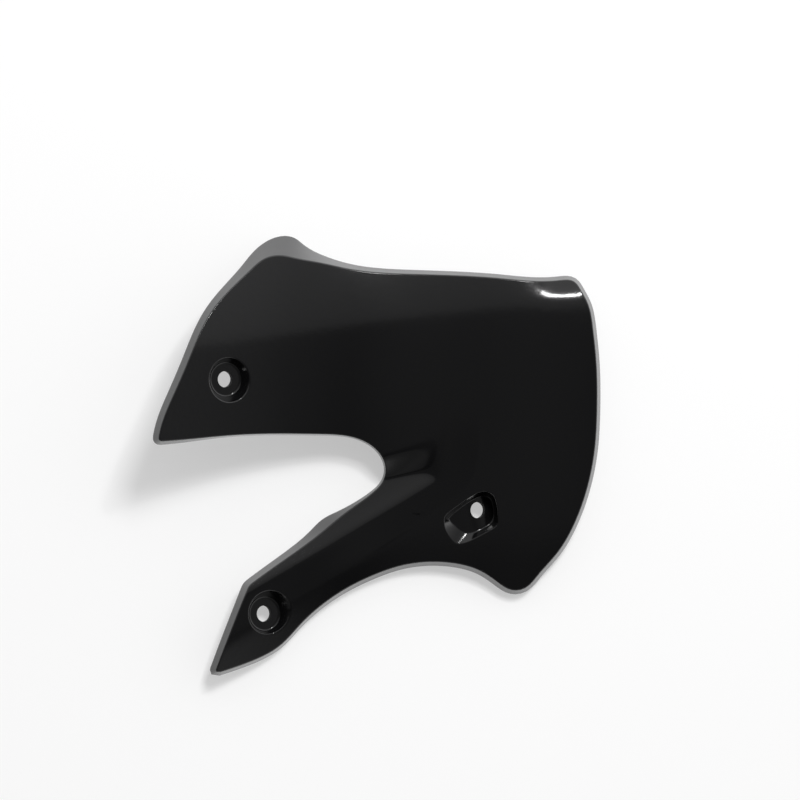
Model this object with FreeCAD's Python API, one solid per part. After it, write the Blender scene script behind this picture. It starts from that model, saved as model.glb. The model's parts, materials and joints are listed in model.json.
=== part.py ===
import FreeCAD, Part
import math
import os

from FreeCAD import Vector

# Dirt bike radiator shroud: one moulded plastic panel with a turned-down edge and three bolt pockets.
# It is drawn in its face view, X to the right, Y up and Z towards the viewer, in millimetres.
# At the end it is turned onto the three places of its edge that it lies on.

# Wall and edge
WALL = 3.0
CREASE_RADIUS = 3.0
NOTCH_CREASE_RADIUS = 1.3
RIM_DEPTH = 8.0
PEAK_RIM_EXTRA = 12.0
NOTCH_RIM_DEPTH = 4.0
WALL_FOLLOW = 0.45
DRAFT = 0.03
PEAK_SPREAD = 0.5
FLAP_SPREAD = 0.4

# Face form: a flared front, a gentle crown, a roll along the top and a scoop beside the notch
FRONT_SLOPE = 0.57
REAR_SLOPE = 0.11
BEND_X = -40.0
BEND_WIDTH = 28.0
CROWN_RADIUS = 520.0
CROWN_Y = -12.0
REAR_FALL_X = 55.0
REAR_FALL_RADIUS = 480.0
ROLL_Y = 51.0
ROLL_RISE = 0.13
ROLL_SLOPE = 0.07
ROLL_WIDTH = 4.0
CORNER_ROLL_SLOPE = 0.38
CORNER_ROLL_X = 84.0
CORNER_ROLL_WIDTH = 9.0
SCOOP_DEPTH = 9.0
SCOOP_SLOPE = 0.42
SCOOP_END_X = 49.0
SCOOP_END_Y = -51.0
SCOOP_TOP_Y = -19.0
SCOOP_LEAN = 0.643
SCOOP_BLEND = 7.0
SCOOP_EDGE = 1.8
SCOOP_TOP_SHARE = 0.45
SCOOP_TOP_LEAN = 0.05
SCOOP_TOP_REACH = 6.0

# Bolt pockets, each placed by the middle of its bore on the face, all drawn in one leaning direction
DRAW_LEAN = 28.0
BORE_RADIUS = 5.0
SEAT_RADIUS = 10.5
POCKET_RADIUS = 14.0
POCKET_DEPTH = 6.0
TANK_BOLT = (-105.4, 12.8)
ARM_BOLT = (-81.5, -132.6)
RADIATOR_BOLT = (51.2, -68.5)
RADIATOR_POCKET_RADIUS = 12.2
RADIATOR_POCKET_DEPTH = 6.0
RADIATOR_POCKET_REACH = 17.5
RADIATOR_POCKET_CORNER = 3.5
RADIATOR_POCKET_TURN = 208.0
RAMP_START = 10.0
RAMP_RISE = 0.33
POCKET_CUT_HEIGHT = 26.0

# Edge of the face, stretch by stretch; a new stretch starts at each sharp corner
LEFT_TIP = (-148.2, -24.8)
ARM_TIP = (-113.6, -168.6)
ARM_CORNER = (-93.0, -115.5)
REAR_EDGE = [
    (-146.0, -14.6), (-138.4, 4.3), (-129.9, 24.2), (-115.6, 54.6), (-104.2, 68.2), (-91.8, 80.3),
    (-83.4, 87.1), (-74.0, 89.0), (-65.3, 87.4), (-50.0, 84.6), (-31.0, 80.6), (9.3, 77.5), (62.0, 75.0),
    (99.2, 73.8), (108.2, 73.2), (111.8, 68.3), (116.4, 59.5), (119.3, 45.3), (121.5, 22.9), (121.9, -5.6),
    (120.8, -27.3), (116.6, -51.5), (109.1, -73.8), (96.7, -95.5), (84.9, -109.0), (77.3, -116.6),
    (70.4, -117.7), (60.8, -112.4), (49.6, -105.2), (37.0, -101.3), (21.7, -99.8), (0.0, -102.3),
    (-16.1, -107.8), (-32.9, -115.9), (-49.2, -126.9), (-61.5, -138.0), (-75.0, -152.0), (-92.0, -161.2)]
ARM_END = [(-103.3, -141.5)]
NOTCH_EDGE = [
    (-77.5, -104.2), (-49.2, -83.7), (-32.9, -70.4), (-16.1, -57.9), (-10.2, -51.3), (-8.1, -43.0),
    (-12.5, -32.0), (-27.9, -22.6), (-49.0, -20.4), (-74.4, -20.1), (-104.2, -21.1), (-123.4, -22.8)]
PEAK = (-72.0, 89.0)
PEAK_REACH = 20.0
FLAP = (-42.0, -80.0)
FLAP_REACH = 14.0
NOTCH_MIDDLE = (-50.0, -33.0)
NOTCH_HALF = (78.0, 37.0)
NOTCH_END = (-12.0, -45.0)
NOTCH_REACH = 38.0

# Places in the face view near the three points of the edge that the shroud lies on
SUPPORTS = [(-64.0, 88.0), (66.0, -115.0), (-76.0, -150.0)]

# Working sizes
TOP_LEVEL = 170.0
LOW_LEVEL = -110.0
GRID_STEP = 5.0
FACE_BOX = (-190.0, 170.0, -200.0, 130.0)
KINK = 4.0
CREASE_STEPS = 3
LEAD_IN = 1.5

LEAN = math.radians(DRAW_LEAN)
DRAW = Vector(math.sin(LEAN), 0, math.cos(LEAN))


def soft_step_up(value, width):
    """Zero far below zero and rising with slope one far above it, rounded over the width."""
    ratio = value / width
    if ratio > 30:
        return value
    return width * math.log1p(math.exp(ratio))


def soft_least(first, second, width):
    """The smaller of two values, rounded where they meet."""
    return first - soft_step_up(first - second, width)


def scoop_inside(x, y):
    """How far a place lies inside the scoop, from its lower, rear and upper borders."""
    run = math.hypot(1.0, SCOOP_LEAN)
    lower = (y - SCOOP_END_Y - SCOOP_LEAN * (x - SCOOP_END_X)) / run
    rear = SCOOP_END_X - x
    upper = SCOOP_TOP_SHARE * (SCOOP_TOP_Y - SCOOP_TOP_LEAN * rear - y) + SCOOP_TOP_REACH
    return soft_least(soft_least(lower, rear, SCOOP_BLEND), upper, SCOOP_BLEND)


def height(x, y):
    """Height of the face over the face view."""
    z = -REAR_SLOPE * x + (FRONT_SLOPE - REAR_SLOPE) * soft_step_up(BEND_X - x, BEND_WIDTH)
    z -= (y - CROWN_Y) ** 2 / (2 * CROWN_RADIUS)
    z -= max(0.0, x - REAR_FALL_X) ** 2 / (2 * REAR_FALL_RADIUS)
    roll = ROLL_SLOPE + (CORNER_ROLL_SLOPE - ROLL_SLOPE) / (1 + math.exp((CORNER_ROLL_X - x) / CORNER_ROLL_WIDTH))
    z -= roll * soft_step_up(y - ROLL_Y - ROLL_RISE * x, ROLL_WIDTH)
    depth = SCOOP_SLOPE * soft_step_up(scoop_inside(x, y), SCOOP_EDGE)
    return z - SCOOP_DEPTH * math.tanh(depth / SCOOP_DEPTH)


def inner_height(x, y):
    """Height of the inner face, one wall under the outer one."""
    step = 0.5
    slope_x = (height(x + step, y) - height(x - step, y)) / (2 * step)
    slope_y = (height(x, y + step) - height(x, y - step)) / (2 * step)
    return height(x, y) - WALL * math.sqrt(1 + slope_x ** 2 + slope_y ** 2)


def slope_of_bend(x):
    """How steeply the face falls to the right, from the front slope to the rear one."""
    return REAR_SLOPE + (FRONT_SLOPE - REAR_SLOPE) / (1 + math.exp((x - BEND_X) / BEND_WIDTH))


def near_peak(x, y):
    """One at the peak of the outline, fading away from it."""
    return 1 / (1 + ((x - PEAK[0]) ** 2 + (y - PEAK[1]) ** 2) / PEAK_REACH ** 2)


def near_flap(x, y):
    """One at the flap on the arm's upper edge, fading away from it."""
    return 1 / (1 + ((x - FLAP[0]) ** 2 + (y - FLAP[1]) ** 2) / FLAP_REACH ** 2)


def near_notch(x, y):
    """One along the notch, falling to zero outside an ellipse round it."""
    ratio = math.hypot((x - NOTCH_MIDDLE[0]) / NOTCH_HALF[0], (y - NOTCH_MIDDLE[1]) / NOTCH_HALF[1])
    return 1 / (1 + ratio ** 8)


def near_notch_end(x, y):
    """One round the inner end of the notch, falling to zero at the corner of the arm's flange."""
    distance = math.hypot(x - NOTCH_END[0], y - NOTCH_END[1])
    return 1 / (1 + (distance / NOTCH_REACH) ** 8)


def rim_height(x, y):
    """Height at which the turned-down edge ends."""
    depth = RIM_DEPTH + PEAK_RIM_EXTRA * near_peak(x, y)
    return height(x, y) - depth + (RIM_DEPTH - NOTCH_RIM_DEPTH) * near_notch_end(x, y)


def block_under(height_of):
    """Solid that fills everything under a height function."""
    left, right, low, high = FACE_BOX
    columns = int((right - left) / GRID_STEP) + 1
    rows = int((high - low) / GRID_STEP) + 1
    grid = []
    for i in range(columns):
        x = left + i * GRID_STEP
        grid.append([Vector(x, low + j * GRID_STEP, height_of(x, low + j * GRID_STEP)) for j in range(rows)])
    surface = Part.BSplineSurface()
    surface.interpolate(grid)
    return surface.toShape().extrude(Vector(0, 0, 2 * LOW_LEVEL))


def outline_stretches():
    """The stretches of the face's edge, clockwise, each from one sharp corner to the next."""
    return [
        [LEFT_TIP] + REAR_EDGE + [ARM_TIP],
        [ARM_TIP] + ARM_END + [ARM_CORNER],
        [ARM_CORNER] + NOTCH_EDGE + [LEFT_TIP]]


def outward_of(before, here, after):
    """Mitred outward direction at an outline point, its length one over the half-angle's sine."""
    first = Vector(here[0] - before[0], here[1] - before[1], 0).normalize()
    second = Vector(after[0] - here[0], after[1] - here[1], 0).normalize()
    out_first = Vector(-first.y, first.x, 0)
    out_second = Vector(-second.y, second.x, 0)
    middle = (out_first + out_second).normalize()
    return middle * (1 / max(0.35, middle.dot(out_first)))


def wall_direction(x, y, out):
    """Way of the side wall for each unit down: it leans with the face and spreads at the peak and the flap."""
    lean = WALL_FOLLOW * slope_of_bend(x) * (1 - near_peak(x, y))
    return Vector(-lean, 0, -1) + out * (DRAFT + PEAK_SPREAD * near_peak(x, y) + FLAP_SPREAD * near_flap(x, y))


def edge_rings(inset):
    """Closed rings of points down the edge wall, from far above the face to far below the rim.

    The crease between face and wall is a quarter circle, in steps; its start is the outline itself.
    """
    stretches = outline_stretches()
    loop = [point for stretch in stretches for point in stretch[:-1]]
    steps = [math.radians(90.0 * k / CREASE_STEPS) for k in range(CREASE_STEPS + 1)]
    rings = [[] for k in range(CREASE_STEPS + 4)]
    for index, (x, y) in enumerate(loop):
        out = outward_of(loop[index - 1], (x, y), loop[(index + 1) % len(loop)])
        down = wall_direction(x, y, out)
        wall_inset = inset * math.hypot(1.0, down.dot(out) / out.Length)
        radius = CREASE_RADIUS + (NOTCH_CREASE_RADIUS - CREASE_RADIUS) * near_notch(x, y)
        rounding = []
        for turn in steps:
            move = radius * math.sin(turn) - wall_inset
            place = (x + out.x * move, y + out.y * move)
            rounding.append(on_face(place) + down * (radius * (1 - math.cos(turn))))
        over = rounding[0] + (rounding[0] - rounding[1]) * LEAD_IN
        end = rounding[-1]
        under = end + down * (end.z - rim_height(x, y) + KINK)
        rings[0].append(over + DRAW * ((TOP_LEVEL - over.z) / DRAW.z))
        rings[1].append(over)
        for ring, point in zip(rings[2:], rounding[1:]):
            ring.append(point)
        rings[-2].append(under)
        rings[-1].append(under + DRAW * ((LOW_LEVEL - under.z) / DRAW.z))
    return rings


def stretch_edges(ring):
    """Spline edges of a closed ring, one for each stretch, with the same parameters in every ring."""
    edges = []
    start = 0
    for stretch in outline_stretches():
        count = len(stretch)
        points = [ring[(start + k) % len(ring)] for k in range(count)]
        start += count - 1
        parameters = [0.0]
        for first, second in zip(stretch, stretch[1:]):
            parameters.append(parameters[-1] + math.hypot(second[0] - first[0], second[1] - first[1]))
        curve = Part.BSplineCurve()
        curve.interpolate(Points=points, Parameters=parameters)
        edges.append(curve.toShape())
    return edges


def edge_prism(inset):
    """Closed solid inside the edge wall, moved in by the inset."""
    rings = [stretch_edges(ring) for ring in edge_rings(inset)]
    faces = []
    for upper, lower in zip(rings, rings[1:]):
        faces += [Part.makeRuledSurface(a, b, 1) for a, b in zip(upper, lower)]
    for ring in (rings[0], rings[-1]):
        faces.append(Part.Face(Part.Wire(ring)))
    shell = Part.makeShell(faces)
    shell.sewShape()
    solid = Part.Solid(shell)
    if solid.Volume < 0:
        solid.reverse()
    return solid


def on_face(place):
    """The point of the face over a place of the face view."""
    return Vector(place[0], place[1], height(*place))


def cone_on(place, floor_depth, floor_radius, slope):
    """Cone about the draw direction, from a floor under the face out past the face."""
    reach = floor_depth + 12.0
    base = on_face(place) - DRAW * floor_depth
    return Part.makeCone(floor_radius, floor_radius + slope * reach, reach, base, DRAW)


def radiator_pocket(grow):
    """Block over the radiator bolt's seat: round at one end, flat at the other, with a ramp up to that end.

    It stands on the seat along the draw direction; grow moves its sides out and its floor down.
    """
    turn = math.radians(RADIATOR_POCKET_TURN)
    along = Vector(math.cos(turn) * DRAW.z, math.sin(turn), -math.cos(turn) * DRAW.x)
    across = DRAW.cross(along)
    centre = on_face(RADIATOR_BOLT) - DRAW * RADIATOR_POCKET_DEPTH

    def at(reach, side, level):
        return centre + along * reach + across * side + DRAW * level

    level = -grow
    radius = RADIATOR_POCKET_RADIUS + grow
    end = RADIATOR_POCKET_REACH + grow
    corner = RADIATOR_POCKET_CORNER + grow
    bend = corner * (1 - math.sqrt(0.5))
    outline = [
        Part.Arc(at(0, -radius, level), at(-radius, 0, level), at(0, radius, level)),
        Part.LineSegment(at(0, radius, level), at(end - corner, radius, level)),
        Part.Arc(at(end - corner, radius, level), at(end - bend, radius - bend, level), at(end, radius - corner, level)),
        Part.LineSegment(at(end, radius - corner, level), at(end, corner - radius, level)),
        Part.Arc(at(end, corner - radius, level), at(end - bend, bend - radius, level), at(end - corner, -radius, level)),
        Part.LineSegment(at(end - corner, -radius, level), at(0, -radius, level))]
    floor = Part.Face(Part.Wire([piece.toShape() for piece in outline]))
    block = floor.extrude(DRAW * (POCKET_CUT_HEIGHT + grow))
    far = end + WALL
    side = radius + WALL
    wedge = Part.Face(Part.makePolygon([
        at(RAMP_START, -side, level), at(far, -side, level - WALL),
        at(far, -side, level + RAMP_RISE * (far - RAMP_START)), at(RAMP_START, -side, level)]))
    return block.cut(wedge.extrude(across * 2 * side))


def settle(body):
    """Turn and lower the body onto the lowest points of its edge near the three supports."""
    points = body.tessellate(0.2)[0]
    nearest = [[], [], []]
    for point in points:
        distances = [math.hypot(point.x - x, point.y - y) for x, y in SUPPORTS]
        nearest[distances.index(min(distances))].append(point)
    down = Vector(0, 0, -1)
    for turn in range(6):
        lowest = [max(group, key=lambda p: p.dot(down)) for group in nearest]
        down = (lowest[1] - lowest[0]).cross(lowest[2] - lowest[0]).normalize()
        if down.z > 0:
            down = down * -1
    body = body.copy()
    body.Placement = FreeCAD.Placement(Vector(0, 0, 0), FreeCAD.Rotation(down, Vector(0, 0, -1)))
    points = body.tessellate(0.2)[0]
    low = [min(p[axis] for p in points) for axis in range(3)]
    high = [max(p[axis] for p in points) for axis in range(3)]
    middle = Vector((low[0] + high[0]) / 2, (low[1] + high[1]) / 2, low[2])
    body.Placement = FreeCAD.Placement(middle * -1, body.Placement.Rotation)
    print("lies with its underside towards", down, "and reaches", Vector(*high) - Vector(*low))
    print("face view origin lies at", middle * -1)
    return body


def build_shroud():
    face_block = block_under(height)
    outer = edge_prism(0.0).common(face_block)
    cavity = edge_prism(WALL).common(block_under(inner_height))
    body = outer.cut(cavity).cut(block_under(rim_height))
    slope = (POCKET_RADIUS - SEAT_RADIUS) / POCKET_DEPTH
    rounds = [TANK_BOLT, ARM_BOLT]
    cups = [cone_on(place, POCKET_DEPTH + WALL, SEAT_RADIUS + WALL, slope) for place in rounds]
    cups.append(radiator_pocket(WALL))
    body = body.fuse([cup.common(face_block) for cup in cups])
    for place in rounds:
        body = body.cut(cone_on(place, POCKET_DEPTH, SEAT_RADIUS, slope))
    body = body.cut(radiator_pocket(0.0))
    for place, depth in [(TANK_BOLT, POCKET_DEPTH), (ARM_BOLT, POCKET_DEPTH), (RADIATOR_BOLT, RADIATOR_POCKET_DEPTH)]:
        base = on_face(place) - DRAW * (depth + 2 * WALL)
        body = body.cut(Part.makeCylinder(BORE_RADIUS, 3 * WALL, base, DRAW))
    return body


shroud = settle(build_shroud())
os.makedirs("parts", exist_ok=True)
shroud.exportStep("parts/radiator_shroud.step")
print("solids", len(shroud.Solids), "valid", shroud.isValid(), "volume", round(shroud.Volume))
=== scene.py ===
"""Dirt bike radiator shroud: its moulded panel as a worked-out surface, its plastic and a plain studio."""

import json
import math

import bpy
import numpy as np
from bpy.props import FloatProperty, FloatVectorProperty, IntProperty, PointerProperty
from bpy.types import Operator, Panel, PropertyGroup
from mathutils import Matrix, Vector


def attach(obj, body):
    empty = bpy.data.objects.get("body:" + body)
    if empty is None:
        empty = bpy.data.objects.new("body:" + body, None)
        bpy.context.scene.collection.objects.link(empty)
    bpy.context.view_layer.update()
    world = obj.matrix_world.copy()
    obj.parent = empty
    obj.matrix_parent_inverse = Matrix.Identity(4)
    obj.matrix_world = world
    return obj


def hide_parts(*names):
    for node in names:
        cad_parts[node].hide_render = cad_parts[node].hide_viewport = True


bl_info = {
    "name": "Radiator Shroud",
    "version": (1, 0, 0),
    "blender": (4, 5, 0),
    "location": "3D View > Sidebar > Shroud",
    "description": "Builds a dirt bike radiator shroud round its CAD frame, with its plastic and a studio",
    "category": "Object",
}

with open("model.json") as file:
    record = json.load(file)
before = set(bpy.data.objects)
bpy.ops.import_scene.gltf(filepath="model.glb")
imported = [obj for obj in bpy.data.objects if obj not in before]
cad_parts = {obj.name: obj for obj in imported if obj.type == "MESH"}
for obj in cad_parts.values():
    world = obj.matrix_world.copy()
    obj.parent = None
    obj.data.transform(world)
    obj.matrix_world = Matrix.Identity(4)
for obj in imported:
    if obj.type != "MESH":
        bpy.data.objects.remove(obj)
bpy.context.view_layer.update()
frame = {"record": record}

SHROUD_NODE = "radiator_shroud"
MM = 0.001

# Face form, in millimetres of the face view: X right, Y up, Z towards the viewer
FRONT_SLOPE = 0.57
REAR_SLOPE = 0.11
BEND_X = -40.0
BEND_WIDTH = 28.0
CROWN_RADIUS = 520.0
CROWN_Y = -12.0
REAR_FALL_X = 55.0
REAR_FALL_RADIUS = 480.0
ROLL_Y = 51.0
ROLL_RISE = 0.13
ROLL_SLOPE = 0.07
ROLL_WIDTH = 2.5
CORNER_ROLL_SLOPE = 0.38
CORNER_ROLL_X = 90.0
CORNER_ROLL_WIDTH = 5.0
SCOOP_DEPTH = 9.0
SCOOP_SLOPE = 0.19
SCOOP_END = (49.0, -51.0)
SCOOP_TOP_Y = -19.0
SCOOP_LEAN = 0.643
SCOOP_BLEND = 7.0
SCOOP_EDGE = 1.8
SCOOP_TOP_SHARE = 0.45
SCOOP_TOP_LEAN = 0.05
SCOOP_TOP_REACH = 6.0
BANK_PLACE = (9.3, -57.7)
BANK_LEAN = 0.60
BANK_SLOPE = 0.48
BANK_END_X = 24.0
FOLD_PLACE = (-6.2, -35.5)
FOLD_LEAN = 0.28
FOLD_SLOPE = 0.62
FOLD_FADE = 0.016
FOLD_LEAST = 0.05
BANK_EDGE = 0.6
RIDGE_HEIGHT = 0.16
RIDGE_WIDTH = 1.3
RIDGE_TOP_Y = -22.0
RIDGE_LEFT_X = -14.0
RIDGE_FADE = 4.0

# Edge of the face, clockwise, stretch by stretch from one sharp corner to the next
LEFT_TIP = (-148.2, -24.8)
ARM_TIP = (-113.6, -168.6)
ARM_CORNER = (-93.0, -115.5)
REAR_EDGE = [
    (-146.0, -14.6), (-138.4, 4.3), (-129.9, 24.2), (-115.6, 54.6), (-104.2, 68.2), (-91.8, 80.3),
    (-83.4, 87.1), (-74.0, 89.0), (-65.3, 87.4), (-50.0, 84.6), (-31.0, 80.6), (9.3, 77.5), (62.0, 75.0),
    (99.2, 73.8), (108.2, 73.2), (111.8, 68.3), (116.4, 59.5), (119.3, 45.3), (121.5, 22.9), (121.9, -5.6),
    (120.8, -27.3), (116.6, -51.5), (109.1, -73.8), (96.7, -95.5), (84.9, -109.0), (77.3, -116.6),
    (70.4, -117.7), (60.8, -112.4), (49.6, -105.2), (37.0, -101.3), (21.7, -99.8), (0.0, -102.3),
    (-16.1, -107.8), (-32.9, -115.9), (-49.2, -126.9), (-61.5, -138.0), (-75.0, -152.0), (-92.0, -161.2)]
ARM_END = [(-103.3, -141.5)]
NOTCH_EDGE = [
    (-77.5, -104.2), (-49.2, -83.7), (-32.9, -70.4), (-16.1, -57.9), (-10.2, -51.3), (-8.1, -43.0),
    (-12.5, -32.0), (-27.9, -22.6), (-49.0, -20.4), (-74.4, -20.1), (-104.2, -21.1), (-123.4, -22.8)]
PEAK = (-72.0, 89.0)
PEAK_REACH = 20.0
FLAP = (-42.0, -80.0)
FLAP_REACH = 14.0
NOTCH_MIDDLE = (-50.0, -33.0)
NOTCH_HALF = (78.0, 37.0)
NOTCH_END = (-12.0, -45.0)
NOTCH_REACH = 38.0

# Places on the outer edge, places on the notch edge that face them, and the share of columns up to each
PAIRED_PLACES = [
    ((-124.0, 38.0), (-80.0, -20.3), 0.15),
    (PEAK, (-52.0, -20.4), 0.27),
    ((-31.0, 80.6), (-31.0, -22.0), 0.35),
    ((62.0, 75.0), (-19.0, -26.8), 0.46),
    ((111.0, 70.0), (-13.0, -31.4), 0.535),
    ((121.9, -5.6), (-8.1, -43.0), 0.62),
    ((74.0, -116.6), (-10.2, -51.3), 0.735),
    ((21.7, -99.8), (-16.1, -57.9), 0.80),
    ((-32.9, -115.9), (-49.2, -83.7), 0.885)]
CORNER_SOFTNESS = 1.2
TIP_SHARE = 1.1

# Bolt pockets
TANK_BOLT = (-105.4, 12.8)
ARM_BOLT = (-81.5, -132.6)
RADIATOR_BOLT = (51.2, -68.5)
BORE_RADIUS = 5.0
SEAT_RADIUS = 10.5
POCKET_RADIUS = 14.0
POCKET_DEPTH = 6.0
RADIATOR_RIM = [
    (27.4, -76.4), (28.9, -82.5), (34.2, -89.0), (41.1, -88.6), (52.0, -83.2), (60.0, -78.2), (60.8, -72.5),
    (60.4, -66.0), (57.9, -59.2), (52.2, -56.9), (45.5, -59.2), (36.5, -65.2), (28.6, -71.5)]
RADIATOR_FLOOR = [
    (31.2, -75.0), (34.3, -77.8), (38.8, -81.2), (43.5, -82.6), (50.6, -80.6), (56.6, -76.8), (58.6, -72.0),
    (58.4, -66.8), (56.3, -61.2), (51.6, -59.2), (46.0, -61.2), (37.5, -67.2), (31.0, -72.8)]
RADIATOR_FLOOR_GAP = 4.0
FLOOR_BLEND = 0.8
TANK_WINDOW = 20.0
ARM_WINDOW = 19.0
RADIATOR_WINDOW = 24.0
TURN_HARMONICS = 4
BORE_MOUNTS = {"tank_bolt": TANK_BOLT, "arm_bolt": ARM_BOLT, "radiator_bolt": RADIATOR_BOLT}

# Studio: tones of the surroundings by their angle off the face view's axis, towards Y and towards X
UPWARD_TONES = [
    (-1.5, 0.2), (-1.1, 0.2), (-0.7, 0.17), (-0.5, 0.04), (-0.34, 0.04), (-0.27, 0.10), (0.28, 0.10),
    (0.35, 0.34), (0.7, 0.5), (0.85, 1.0), (1.5, 1.0)]
SIDEWARD_TONES = [
    (-1.5, 0.3), (-1.2, 0.0), (-0.5, 0.0), (0.1, 0.02), (0.35, 0.05), (0.6, 0.0), (0.82, 0.04), (0.96, 0.12),
    (1.1, 0.3), (1.5, 0.9)]
KEY_DIRECTION = np.array([0.404, 0.607, 0.685])
KEY_DISTANCE = 1.7
KEY_SIZE = (0.16, 0.09)
TOP_DIRECTION = np.array([0.30, 0.60, 0.74])
TOP_DISTANCE = 4.0
TOP_SIZE = (1.2, 1.2)
# Extra glow of the floor seen only in reflections: painted extra light in the floor's reflection on the side
# walls.
GLOSSY_FLOOR = 0.7

# Steps of the searches along a wall, and the levels over a seat between which its rim lies
HALVINGS = 40
LEVEL_SPAN = (-6.0, 30.0)

# Roundings of the moulding
EDGE_ROUNDING = 0.8
CREASE_RINGS = 7
RIM_ROUNDING = 0.7
INNER_FILLET = 0.6
POCKET_LIP = 0.6
POCKET_FILLET = 1.0
BORE_ROUNDING = 0.25


def soft_step_up(value, width):
    """width times ln(1 + e^(value / width)): zero far below zero, and rising with slope one far above it."""
    return width * np.logaddexp(0.0, value / width)


def soft_least(first, second, width):
    """first minus soft_step_up(first - second): the smaller of the two, rounded where they meet."""
    return first - soft_step_up(first - second, width)


def scoop_inside(x, y):
    """Distance inside the scoop's lower, rear and upper borders: the rounded least of three distances."""
    run = math.hypot(1.0, SCOOP_LEAN)
    lower = (y - SCOOP_END[1] - SCOOP_LEAN * (x - SCOOP_END[0])) / run
    rear = SCOOP_END[0] - x
    upper = SCOOP_TOP_SHARE * (SCOOP_TOP_Y - SCOOP_TOP_LEAN * rear - y) + SCOOP_TOP_REACH
    return soft_least(soft_least(lower, rear, SCOOP_BLEND), upper, SCOOP_BLEND)


def bank_depth(x, y):
    """Depth of the valley from the notch's end along the arm: the least of a bank, its end and a fold."""
    bank = BANK_SLOPE * (y - BANK_PLACE[1] - BANK_LEAN * (x - BANK_PLACE[0])) / math.hypot(1.0, BANK_LEAN)
    steepness = np.maximum(FOLD_LEAST, FOLD_SLOPE - FOLD_FADE * (x - FOLD_PLACE[0]))
    fold = steepness * (FOLD_PLACE[1] + FOLD_LEAN * (x - FOLD_PLACE[0]) - y)
    end = BANK_SLOPE * (BANK_END_X - x)
    return soft_step_up(soft_least(soft_least(bank, end, BANK_EDGE), fold, BANK_EDGE), BANK_EDGE)


def ridge(x, y):
    """Low crest e^(-(d / width)^2) along the scoop's lower and rear borders, fading towards its ends."""
    run = math.hypot(1.0, SCOOP_LEAN)
    lower = (y - SCOOP_END[1] - SCOOP_LEAN * (x - SCOOP_END[0])) / run
    inside = soft_least(lower, SCOOP_END[0] - x, SCOOP_BLEND)
    fade = 1 / (1 + np.exp((y - RIDGE_TOP_Y) / RIDGE_FADE)) / (1 + np.exp((RIDGE_LEFT_X - x) / RIDGE_FADE))
    return RIDGE_HEIGHT * fade * np.exp(-(inside / RIDGE_WIDTH) ** 2)


def height(x, y):
    """Face height: two slopes joined by a soft bend in x, less (y - crown)^2 / 2R, a rear fall, roll and scoop.

    The scoop is depth times tanh(slope times its soft inside distance over depth), and the valley lies in it.
    """
    z = -REAR_SLOPE * x + (FRONT_SLOPE - REAR_SLOPE) * soft_step_up(BEND_X - x, BEND_WIDTH)
    z = z - (y - CROWN_Y) ** 2 / (2 * CROWN_RADIUS)
    z = z - np.maximum(0.0, x - REAR_FALL_X) ** 2 / (2 * REAR_FALL_RADIUS)
    to_corner = 1 / (1 + np.exp((CORNER_ROLL_X - x) / CORNER_ROLL_WIDTH))
    roll = ROLL_SLOPE + (CORNER_ROLL_SLOPE - ROLL_SLOPE) * to_corner
    z = z - roll * soft_step_up(y - ROLL_Y - ROLL_RISE * x, ROLL_WIDTH)
    depth = SCOOP_SLOPE * soft_step_up(scoop_inside(x, y), SCOOP_EDGE)
    return z - SCOOP_DEPTH * np.tanh(depth / SCOOP_DEPTH) - bank_depth(x, y) + ridge(x, y)


def inner_height(x, y, wall):
    """Face height less wall times sqrt(1 + slope_x^2 + slope_y^2), which is one wall square to the face."""
    step = 0.5
    slope_x = (height(x + step, y) - height(x - step, y)) / (2 * step)
    slope_y = (height(x, y + step) - height(x, y - step)) / (2 * step)
    return height(x, y) - wall * np.sqrt(1 + slope_x ** 2 + slope_y ** 2)


def slope_of_bend(x):
    """Downward slope in x of the two joined slopes: rear + (front - rear) / (1 + e^((x - bend) / width))."""
    return REAR_SLOPE + (FRONT_SLOPE - REAR_SLOPE) / (1 + np.exp((x - BEND_X) / BEND_WIDTH))


def near_peak(places):
    """1 / (1 + (distance to the peak / reach)^2)."""
    return 1 / (1 + ((places[..., 0] - PEAK[0]) ** 2 + (places[..., 1] - PEAK[1]) ** 2) / PEAK_REACH ** 2)


def near_flap(places):
    """1 / (1 + (distance to the flap on the arm / reach)^2)."""
    return 1 / (1 + ((places[..., 0] - FLAP[0]) ** 2 + (places[..., 1] - FLAP[1]) ** 2) / FLAP_REACH ** 2)


def near_notch(places):
    """1 / (1 + r^8) with r one on an ellipse round the notch."""
    away = (places[..., :2] - np.array(NOTCH_MIDDLE)) / np.array(NOTCH_HALF)
    ratio = np.hypot(away[..., 0], away[..., 1])
    return 1 / (1 + ratio ** 8)


def near_notch_end(places):
    """1 / (1 + (distance to the notch's end / reach)^8)."""
    distance = np.hypot(places[..., 0] - NOTCH_END[0], places[..., 1] - NOTCH_END[1])
    return 1 / (1 + (distance / NOTCH_REACH) ** 8)


def on_face(places):
    """Points of the outer face over places of the face view."""
    places = np.asarray(places, float)
    return np.concatenate([places[..., :2], height(places[..., 0], places[..., 1])[..., None]], -1)


def unit(vectors):
    """Vectors over their lengths."""
    return vectors / np.linalg.norm(vectors, axis=-1, keepdims=True)


def bend(start, corner, end, steps):
    """Points (1-u)^2 start + 2u(1-u) corner + u^2 end for the given steps of u, without the start."""
    u = np.linspace(0, 1, steps + 1)[1:, None, None]
    return (1 - u) ** 2 * start + 2 * u * (1 - u) * corner + u ** 2 * end


def straight(start, end, steps):
    """Points (1-u) start + u end for the given number of steps of u, without the start."""
    u = np.linspace(0, 1, steps + 1)[1:, None, None]
    return (1 - u) * start + u * end


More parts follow.
